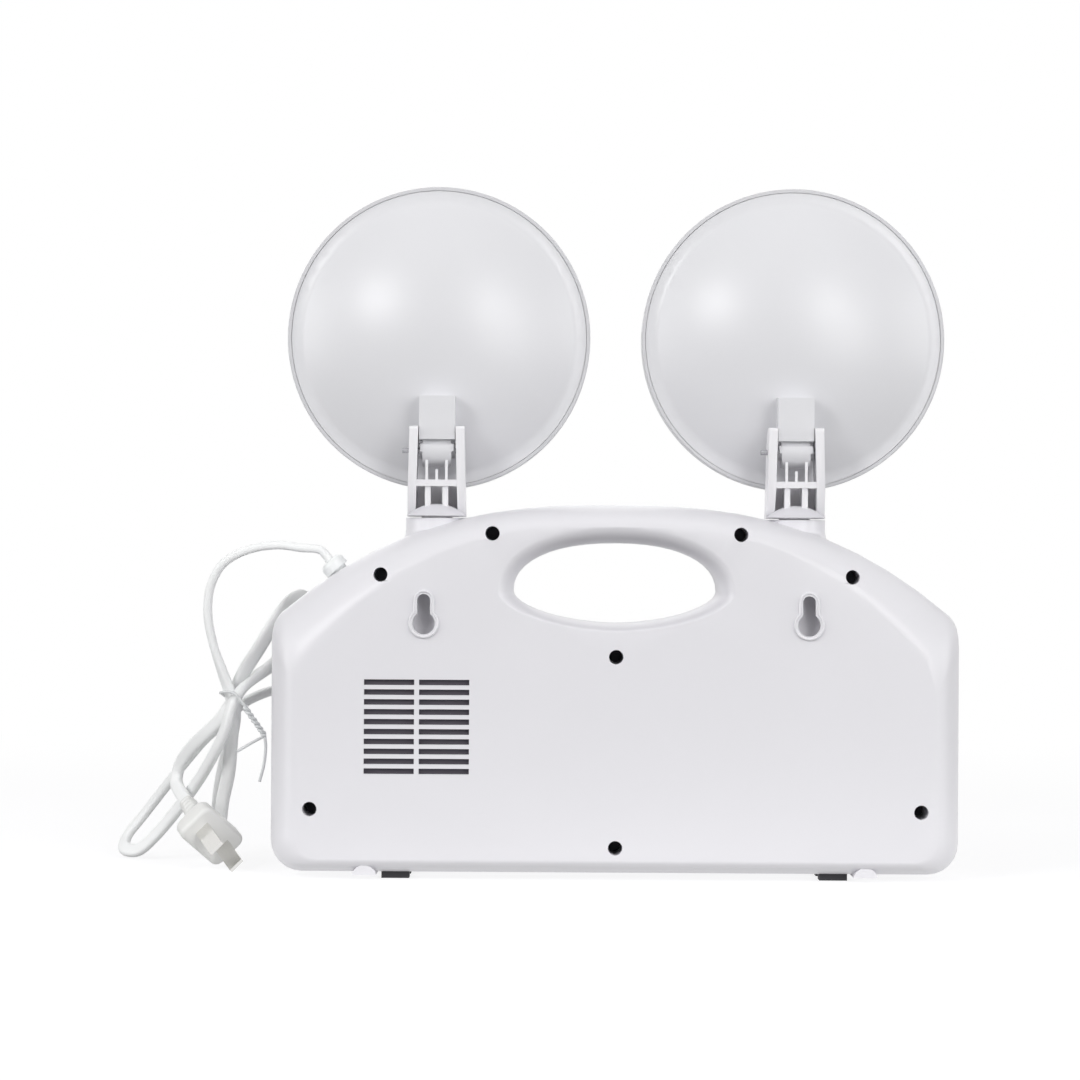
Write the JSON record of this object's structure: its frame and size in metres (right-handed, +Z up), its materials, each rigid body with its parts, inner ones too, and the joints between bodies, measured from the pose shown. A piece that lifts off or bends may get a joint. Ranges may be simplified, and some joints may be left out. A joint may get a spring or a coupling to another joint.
{
  "type": "twin head emergency light",
  "caption": "Emergency light with an arched case and carrying handle, round lamp heads on swivelling, tilting yokes, wall keyholes, a vent and a mains lead in a tied hank with its plug.",
  "frame": {"origin": "middle of the underside of the case, on the surface that the foot pads stand on, midway between the rear and front faces", "axes": "+X to the right seen from the rear, +Y from the rear face with the keyholes to the front face where the lamps shine, +Z up"},
  "size_m": [0.3331, 0.1119, 0.2692],
  "materials": {
    "case_plastic": "off-white moulded ABS, soft gloss",
    "dark_screw": "blackened steel, recessed",
    "screen_felt": "dark grey felt",
    "foot_rubber": "dark grey, matt",
    "gland_plastic": "white, soft gloss",
    "cord_jacket": "white PVC, satin",
    "tie_wire": "white plastic over wire",
    "plug_plastic": "warm white PVC, satin",
    "blade_metal": "nickel-plated, lightly brushed",
    "battery_wrap": "blue shrink wrap",
    "dark_plastic": "dark moulded plastic",
    "steel_screw": "zinc plated",
    "circuit_board": "green solder mask",
    "core_iron": "varnished laminations",
    "winding_wire": "enamelled copper",
    "capacitor_sleeve": "dark blue sleeve",
    "green_lamp": "clear green epoxy",
    "red_lamp": "clear red epoxy",
    "yellow_lamp": "clear yellow epoxy",
    "button_plastic": "pale grey, gloss",
    "yoke_plastic": "white, soft gloss",
    "pin_steel": "bright steel",
    "head_plastic": "off-white, gloss",
    "bezel_plastic": "white, gloss",
    "lens_plastic": "clear polycarbonate",
    "reflector_film": "vacuum-metallised plastic",
    "white_board": "white solder mask",
    "lamp_chip": "yellow phosphor"
  },
  "bodies": {
    "case": {"rear_cover": "case_plastic", "front_cover": "case_plastic", "case_screws": "dark_screw", "vent_screen": "screen_felt", "foot_pads": "foot_rubber", "cord_gland": "gland_plastic", "power_cord": "cord_jacket", "cord_hank": "cord_jacket", "twist_tie": "tie_wire", "plug_body": "plug_plastic", "plug_pins": "blade_metal", "battery_pack": "battery_wrap", "battery_clamp": "dark_plastic", "clamp_screws": "steel_screw", "control_board": "circuit_board", "transformer_core": "core_iron", "transformer_winding": "winding_wire", "capacitors": "capacitor_sleeve", "board_screws": "steel_screw", "mains_led": "green_lamp", "charge_led": "red_lamp", "fault_led": "yellow_lamp", "test_switch": "dark_plastic"},
    "test_button": {"test_button": "button_plastic"},
    "left_yoke_body": {"left_yoke": "yoke_plastic", "left_tilt_pin": "pin_steel"},
    "left_head_body": {"left_head_shell": "head_plastic", "left_bezel": "bezel_plastic", "left_lens": "lens_plastic", "left_reflector": "reflector_film", "left_led_board": "white_board", "left_led_chips": "lamp_chip"},
    "right_yoke_body": {"right_yoke": "yoke_plastic", "right_tilt_pin": "pin_steel"},
    "right_head_body": {"right_head_shell": "head_plastic", "right_bezel": "bezel_plastic", "right_lens": "lens_plastic", "right_reflector": "reflector_film", "right_led_board": "white_board", "right_led_chips": "lamp_chip"}
  },
  "joints": [
    {"name": "left_pan", "type": "hinge", "parent": "case", "child": "left_yoke_body", "pos_m": [-0.0695, 0, 0.139], "axis": [0, 0, 1], "range_deg": [-90, 90]},
    {"name": "left_tilt", "type": "hinge", "parent": "left_yoke_body", "child": "left_head_body", "pos_m": [-0.0695, -0.004, 0.165], "axis": [1, 0, 0], "range_deg": [-15, 45]},
    {"name": "right_pan", "type": "hinge", "parent": "case", "child": "right_yoke_body", "pos_m": [0.0695, 0, 0.139], "axis": [0, 0, 1], "range_deg": [-90, 90]},
    {"name": "right_tilt", "type": "hinge", "parent": "right_yoke_body", "child": "right_head_body", "pos_m": [0.0695, -0.004, 0.165], "axis": [1, 0, 0], "range_deg": [-15, 45]},
    {"name": "test_press", "type": "slide", "parent": "case", "child": "test_button", "axis": [0, -1, 0], "range_m": [0, 0.0015], "stiffness_N_per_m": 300, "springref_m": -0.001}
  ]
}
